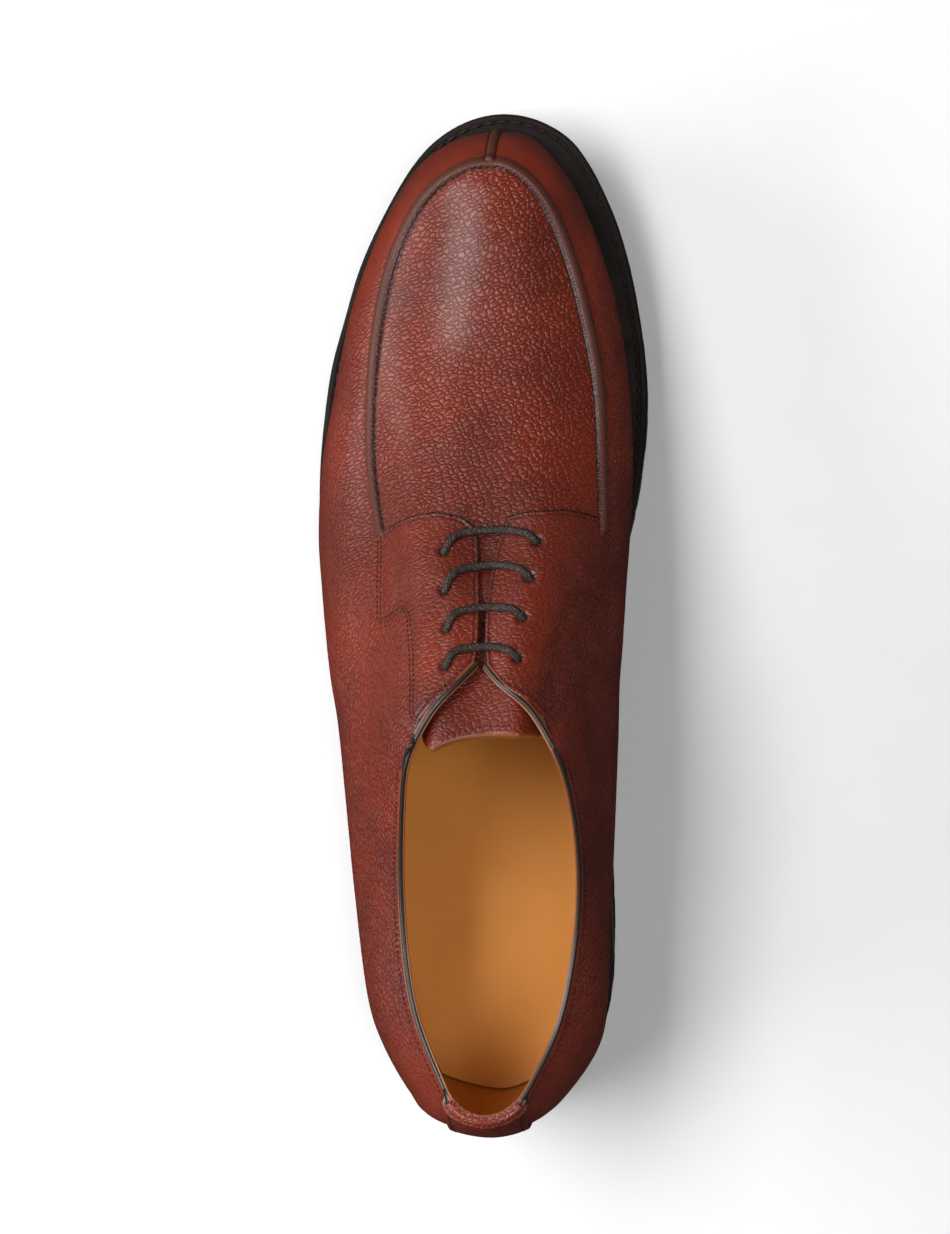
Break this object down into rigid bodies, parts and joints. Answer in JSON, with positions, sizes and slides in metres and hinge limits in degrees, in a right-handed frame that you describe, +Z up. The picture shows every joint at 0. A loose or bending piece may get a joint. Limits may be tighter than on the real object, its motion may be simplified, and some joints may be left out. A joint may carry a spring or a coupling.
{
  "type": "apron toe derby shoe",
  "caption": "Left leather derby shoe with a raised apron seam, open lacing over a tongue, a flat welt and a lugged rubber sole with a separate heel.",
  "frame": {"origin": "middle of the shoe's box at floor level, under the sole", "axes": "+Y from the heel to the toe, +X towards the inner side of the left foot, +Z up from the floor"},
  "size_m": [0.1036, 0.3102, 0.109],
  "materials": {
    "grain_leather": "pebbled, polished chestnut",
    "lining_leather": "smooth tan",
    "sole_edge": "dark brown, waxed edge",
    "sole_rubber": "matt dark rubber",
    "waxed_lace": "round waxed cord"
  },
  "bodies": {
    "root": {"outsole": "sole_rubber", "heel": "sole_rubber", "midsole": "sole_edge", "welt": "sole_edge", "insole": "lining_leather", "upper": "grain_leather", "tongue": "grain_leather", "facing_outer": "grain_leather", "facing_inner": "grain_leather", "back_strip": "grain_leather", "lace_bar_1": "waxed_lace", "lace_bar_2": "waxed_lace", "lace_bar_3": "waxed_lace", "lace_bar_4": "waxed_lace"}
  },
  "joints": []
}
